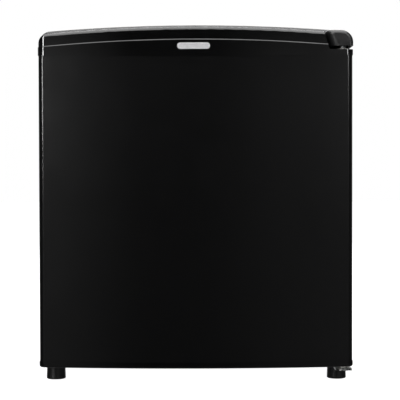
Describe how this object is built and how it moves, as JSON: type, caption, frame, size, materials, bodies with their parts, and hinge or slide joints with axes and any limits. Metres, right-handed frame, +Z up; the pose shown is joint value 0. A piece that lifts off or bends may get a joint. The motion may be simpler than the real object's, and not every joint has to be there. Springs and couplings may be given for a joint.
{
  "type": "mini fridge",
  "caption": "Black cube-shaped mini fridge with a hinged bowed door, freezer box, wire shelves, door bins and a rear compressor and condenser.",
  "frame": {"origin": "on the floor, under the middle of the whole appliance", "axes": "+Z up, -Y out of the door, +X to the right of a person who faces the door"},
  "size_m": [0.45, 0.46, 0.512],
  "materials": {
    "black_steel": "satin",
    "gloss_black": "gloss",
    "satin_black": "satin",
    "zinc": "satin",
    "galvanised": "matte",
    "badge_silver": "satin",
    "white_liner": "satin",
    "white_plastic": "satin",
    "clear_plastic": "gloss",
    "foam": "matte",
    "gasket_black": "satin",
    "magnet": "matte",
    "rubber": "matte",
    "compressor_black": "gloss",
    "copper": "satin",
    "condenser_black": "matte",
    "aluminium": "satin",
    "chromed_wire": "polished",
    "nylon": "satin"
  },
  "bodies": {
    "cabinet": {"cabinet_shell": "black_steel", "bottom_plate": "galvanised", "back_panel": "galvanised", "cabinet_insulation": "foam", "inner_liner": "white_liner", "reinforcing_plate": "galvanised", "worktop": "satin_black", "hinge_cover": "satin_black", "top_hinge_bracket": "zinc", "top_hinge_pin": "zinc", "bottom_hinge_bracket": "zinc", "bottom_hinge_pin": "zinc", "hinge_screws": "zinc", "foot_inserts": "nylon", "rear_feet": "satin_black", "compressor_tray": "galvanised", "compressor_shell": "compressor_black", "compressor_legs": "compressor_black", "compressor_grommets": "rubber", "compressor_bolts": "zinc", "terminal_cover": "satin_black", "cable_gland": "rubber", "start_relay": "white_plastic", "suction_tube": "copper", "capillary_tube": "copper", "tube_grommets": "rubber", "discharge_tube": "copper", "process_tube": "copper", "filter_drier": "copper", "condenser_tube": "condenser_black", "condenser_wires": "condenser_black", "condenser_brackets": "satin_black", "rear_screws": "zinc", "evaporator_box": "aluminium", "evaporator_spacers": "nylon", "evaporator_screws": "zinc", "freezer_frame": "white_plastic", "tray_rails": "white_plastic", "thermostat_housing": "white_plastic", "thermostat_body": "galvanised", "sensor_tube": "copper"},
    "door": {"door_skin": "black_steel", "door_insulation": "foam", "door_liner": "white_liner", "door_gasket": "gasket_black", "gasket_magnets": "magnet", "door_top_cap": "gloss_black", "door_bottom_cap": "gloss_black", "badge_plate": "badge_silver", "upper_door_bin": "clear_plastic", "lower_door_bin": "clear_plastic", "door_bushes": "nylon"},
    "freezer_flap": {"freezer_flap": "white_plastic"},
    "thermostat_dial": {"thermostat_knob": "white_plastic", "thermostat_spindle": "zinc"},
    "chiller_tray": {"chiller_tray": "clear_plastic"},
    "upper_shelf": {"upper_wire_shelf": "chromed_wire"},
    "lower_shelf": {"lower_wire_shelf": "chromed_wire"},
    "left_foot": {"front_left_foot": "satin_black"},
    "right_foot": {"front_right_foot": "satin_black"}
  },
  "joints": [
    {"name": "door_hinge", "type": "hinge", "parent": "cabinet", "child": "door", "pos_m": [0.209, -0.198, 0.25], "axis": [0, 0, 1], "range_deg": [0, 115]},
    {"name": "flap_hinge", "type": "hinge", "parent": "cabinet", "child": "freezer_flap", "pos_m": [-0.04, -0.058, 0.436], "axis": [-1, 0, 0], "range_deg": [0, 90]},
    {"name": "dial_turn", "type": "hinge", "parent": "cabinet", "child": "thermostat_dial", "pos_m": [0.145, -0.06, 0.422], "axis": [0, 1, 0], "range_deg": [0, 270]},
    {"name": "chiller_tray_slide", "type": "slide", "parent": "cabinet", "child": "chiller_tray", "axis": [0, -1, 0], "range_m": [0, 0.08]},
    {"name": "upper_shelf_slide", "type": "slide", "parent": "cabinet", "child": "upper_shelf", "axis": [0, -1, 0], "range_m": [0, 0.08]},
    {"name": "lower_shelf_slide", "type": "slide", "parent": "cabinet", "child": "lower_shelf", "axis": [0, -1, 0], "range_m": [0, 0.08]},
    {"name": "left_foot_screw", "type": "slide", "parent": "cabinet", "child": "left_foot", "axis": [0, 0, -1], "range_m": [0, 0.008]},
    {"name": "right_foot_screw", "type": "slide", "parent": "cabinet", "child": "right_foot", "axis": [0, 0, -1], "range_m": [0, 0.008]}
  ]
}
